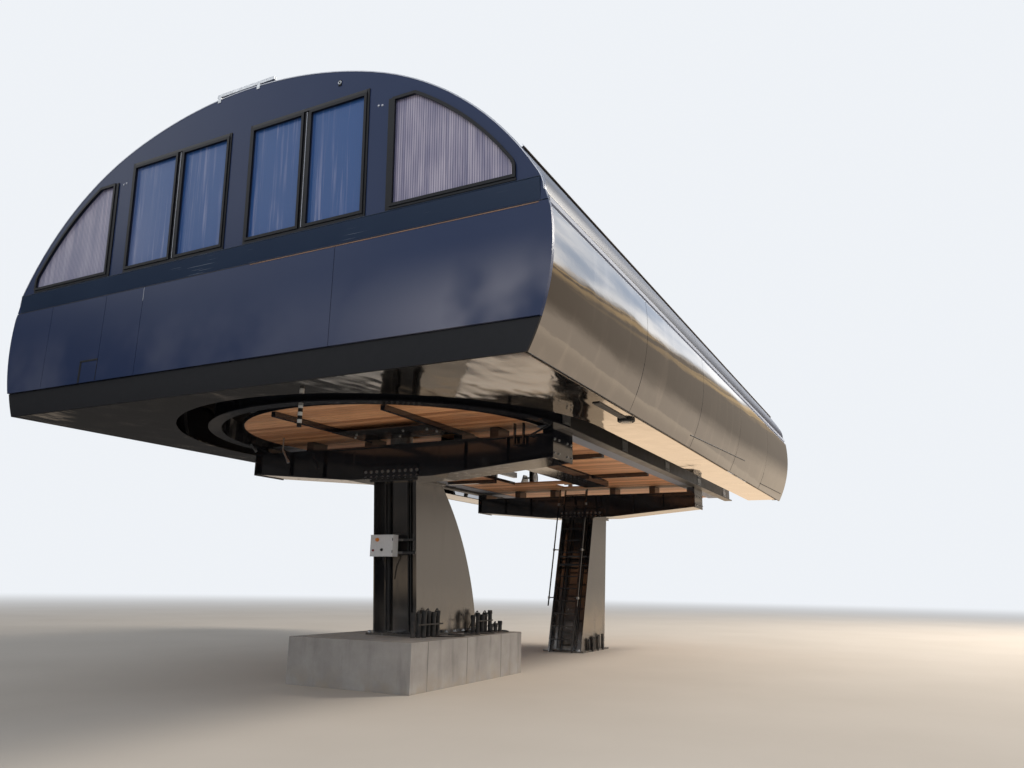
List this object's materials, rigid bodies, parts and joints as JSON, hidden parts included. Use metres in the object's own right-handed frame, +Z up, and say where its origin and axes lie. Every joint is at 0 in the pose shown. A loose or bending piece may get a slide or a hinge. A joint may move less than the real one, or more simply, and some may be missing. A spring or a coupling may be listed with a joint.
{
  "type": "detachable chairlift terminal",
  "caption": "Base terminal of a detachable chairlift: barrel-roofed glazed shell on two masts, with bullwheel, carrier rails, drive tyres and deck.",
  "frame": {"origin": "centre of the bounding box on the floor", "axes": "+X along the terminal to the line side, the glazed end wall at -X, +Y across, +Z up"},
  "size_m": [17.1019, 9.7798, 8.684],
  "materials": {
    "concrete": "board-marked concrete",
    "structure_paint": "satin black paint",
    "rail_steel": "dark paint with bare running edge",
    "roof_panel": "satin navy",
    "gloss_panel": "high gloss black",
    "flashing": "folded sheet",
    "navy_panel": "satin navy",
    "black_panel": "matte black",
    "glazing": "tinted ribbed multiwall sheet",
    "black_trim": "matte black",
    "frame_paint": "grey primer",
    "deck_wood": "oiled boards",
    "gloss_soffit": "mirror gloss black",
    "galvanised": "hot-dip galvanised",
    "wheel_paint": "grey paint",
    "machine_paint": "blue machine paint",
    "rubber": "matte",
    "box_paint": "pale grey powder coat"
  },
  "bodies": {
    "root": {"beam_front": "structure_paint", "beam_rear": "structure_paint", "bullwheel_shaft": "galvanised", "control_box": "box_paint", "deck_front": "deck_wood", "deck_rear": "deck_wood", "deck_ribs": "structure_paint", "deck_sides": "deck_wood", "drive_beams": "frame_paint", "drive_block": "machine_paint", "edge_rail": "galvanised", "end_lower_panels": "navy_panel", "end_skirt": "black_panel", "end_window_panel": "navy_panel", "frame_posts": "frame_paint", "gutters": "flashing", "inner_soffits": "gloss_soffit", "ladder": "structure_paint", "line_end_panel": "navy_panel", "mast_front": "structure_paint", "mast_rear": "structure_paint", "panes_corner": "glazing", "panes_middle": "glazing", "pedestal": "concrete", "purlins": "frame_paint", "rail_turn": "rail_steel", "rails_straight": "rail_steel", "roof_crown": "roof_panel", "roof_grid": "frame_paint", "roof_shoulder_far": "roof_panel", "roof_shoulder_near": "roof_panel", "sheave_plates": "galvanised", "shell_arches": "frame_paint", "side_panels_far": "gloss_panel", "side_panels_near": "gloss_panel", "soffit_front": "gloss_soffit", "soffit_sides": "gloss_soffit", "tyre_beams": "galvanised", "window_frames": "black_trim"},
    "bullwheel": {"bullwheel": "wheel_paint"},
    "tyre_near_1": {"tyre_near_1": "rubber"},
    "tyre_near_2": {"tyre_near_2": "rubber"},
    "tyre_near_3": {"tyre_near_3": "rubber"},
    "sheave_near": {"sheave_near": "rubber"},
    "tyre_far_1": {"tyre_far_1": "rubber"},
    "tyre_far_2": {"tyre_far_2": "rubber"},
    "tyre_far_3": {"tyre_far_3": "rubber"},
    "sheave_far": {"sheave_far": "rubber"},
    "hatch_lid": {"hatch_lid": "deck_wood"}
  },
  "joints": [
    {"name": "bullwheel_spin", "type": "hinge", "parent": "root", "child": "bullwheel", "pos_m": [-4.149, 0, 4.7], "axis": [0, 0, 1], "continuous": true},
    {"name": "tyre_near_1_spin", "type": "hinge", "parent": "root", "child": "tyre_near_1", "pos_m": [-2.449, -3.5, 4.96], "axis": [0, 1, 0], "continuous": true},
    {"name": "tyre_near_2_spin", "type": "hinge", "parent": "root", "child": "tyre_near_2", "pos_m": [1.551, -3.5, 4.96], "axis": [0, 1, 0], "continuous": true},
    {"name": "tyre_near_3_spin", "type": "hinge", "parent": "root", "child": "tyre_near_3", "pos_m": [5.551, -3.5, 4.96], "axis": [0, 1, 0], "continuous": true},
    {"name": "sheave_near_spin", "type": "hinge", "parent": "root", "child": "sheave_near", "pos_m": [7.251, -2.78, 4.945], "axis": [0, 1, 0], "continuous": true},
    {"name": "tyre_far_1_spin", "type": "hinge", "parent": "root", "child": "tyre_far_1", "pos_m": [-2.449, 3.5, 4.96], "axis": [0, 1, 0], "continuous": true},
    {"name": "tyre_far_2_spin", "type": "hinge", "parent": "root", "child": "tyre_far_2", "pos_m": [1.551, 3.5, 4.96], "axis": [0, 1, 0], "continuous": true},
    {"name": "tyre_far_3_spin", "type": "hinge", "parent": "root", "child": "tyre_far_3", "pos_m": [5.551, 3.5, 4.96], "axis": [0, 1, 0], "continuous": true},
    {"name": "sheave_far_spin", "type": "hinge", "parent": "root", "child": "sheave_far", "pos_m": [7.251, 2.78, 4.945], "axis": [0, 1, 0], "continuous": true},
    {"name": "hatch_hinge", "type": "hinge", "parent": "root", "child": "hatch_lid", "pos_m": [4.261, 0, 4.254], "axis": [0, 1, 0], "range_deg": [-100, 0]}
  ],
  "couplings": [
    {"joint": "tyre_near_2_spin", "follows": "tyre_near_1_spin", "ratio": 1.15},
    {"joint": "tyre_near_3_spin", "follows": "tyre_near_1_spin", "ratio": 1.3225},
    {"joint": "tyre_far_2_spin", "follows": "tyre_far_1_spin", "ratio": 1.15},
    {"joint": "tyre_far_3_spin", "follows": "tyre_far_1_spin", "ratio": 1.3225}
  ]
}
